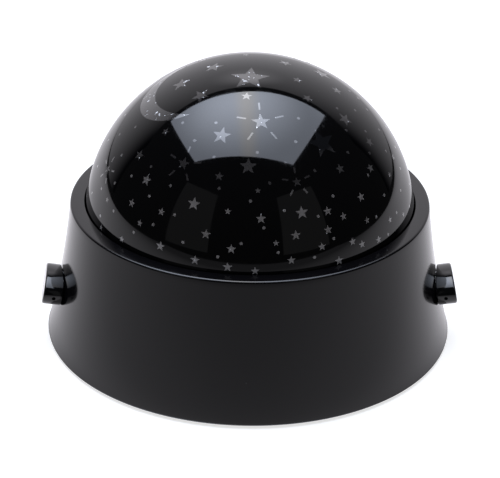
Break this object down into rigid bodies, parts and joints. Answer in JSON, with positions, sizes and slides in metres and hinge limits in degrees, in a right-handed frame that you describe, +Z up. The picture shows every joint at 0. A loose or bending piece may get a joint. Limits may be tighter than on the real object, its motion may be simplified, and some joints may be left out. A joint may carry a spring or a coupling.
{
  "type": "star night light projector",
  "caption": "Tabletop night light whose domed, star-windowed shell turns on a round flared base with a rotary knob on each flank.",
  "frame": {"origin": "middle of the footprint, on the surface that the rubber feet stand on", "axes": "+Z up along the dome's turning axis, -Y to the front, +X to the right-hand knob"},
  "size_m": [0.1432, 0.14, 0.0975],
  "materials": {
    "satin_black": "semi-gloss black moulding",
    "dome_black": "high-gloss black",
    "star_grey": "smoky translucent grey, flush with the dome",
    "knob_black": "glossy black",
    "foot_rubber": "matt soft rubber",
    "screw_steel": "zinc-plated",
    "spindle_steel": "turned",
    "motor_steel": "pressed sheet",
    "blue_plastic": "moulded",
    "switch_black": "moulded",
    "board_green": "solder-masked circuit board",
    "board_white": "white solder-masked board",
    "lamp_clear": "clear epoxy",
    "cell_wrap": "plain grey film wrap",
    "contact_nickel": "nickel-plated spring steel",
    "gear_nylon": "natural acetal",
    "wire_white": "PVC insulation",
    "wire_yellow": "PVC insulation",
    "wire_red": "PVC insulation",
    "wire_green": "PVC insulation"
  },
  "bodies": {
    "base": {"base_housing": "satin_black", "bottom_cover": "satin_black", "rubber_feet": "foot_rubber", "cover_screws": "screw_steel", "deck_plate": "satin_black", "deck_screws": "screw_steel", "lamp_board": "board_white", "lamp_screws": "screw_steel", "lamps": "lamp_clear", "motor_can": "motor_steel", "motor_flange": "motor_steel", "motor_wire_cover": "blue_plastic", "motor_screws": "screw_steel", "left_switch": "switch_black", "right_switch": "switch_black", "left_switch_nut": "screw_steel", "right_switch_nut": "screw_steel", "control_board": "board_green", "board_screws": "screw_steel", "battery_cells": "cell_wrap", "battery_springs": "contact_nickel", "contact_plates": "contact_nickel", "lamp_wires": "wire_white", "motor_wires": "wire_yellow", "battery_wires": "wire_red", "switch_wires": "wire_green"},
    "dome": {"dome_shell": "dome_black", "star_windows": "star_grey", "dome_ring_gear": "gear_nylon", "ring_screws": "screw_steel"},
    "pinion": {"drive_pinion": "gear_nylon", "motor_shaft": "spindle_steel"},
    "left_dial": {"left_knob": "knob_black", "left_spindle": "spindle_steel"},
    "right_dial": {"right_knob": "knob_black", "right_spindle": "spindle_steel"},
    "door": {"battery_door": "satin_black", "door_screws": "screw_steel"}
  },
  "joints": [
    {"name": "dome_spin", "type": "hinge", "parent": "base", "child": "dome", "pos_m": [0, 0, 0.041], "axis": [0, 0, 1], "continuous": true},
    {"name": "pinion_spin", "type": "hinge", "parent": "base", "child": "pinion", "pos_m": [0, 0.04, 0.03], "axis": [0, 0, 1], "continuous": true},
    {"name": "left_knob_turn", "type": "hinge", "parent": "base", "child": "left_dial", "pos_m": [-0.06499, -0.00913, 0.0198], "axis": [-0.9707, -0.1364, 0.1978], "range_deg": [0, 90]},
    {"name": "right_knob_turn", "type": "hinge", "parent": "base", "child": "right_dial", "pos_m": [0.06499, -0.00913, 0.0198], "axis": [-0.9707, 0.1364, -0.1978], "range_deg": [0, 90]},
    {"name": "battery_door_lift", "type": "slide", "parent": "base", "child": "door", "axis": [0, 0, -1], "range_m": [0, 0.03]}
  ],
  "couplings": [
    {"joint": "pinion_spin", "follows": "dome_spin", "ratio": 6}
  ]
}
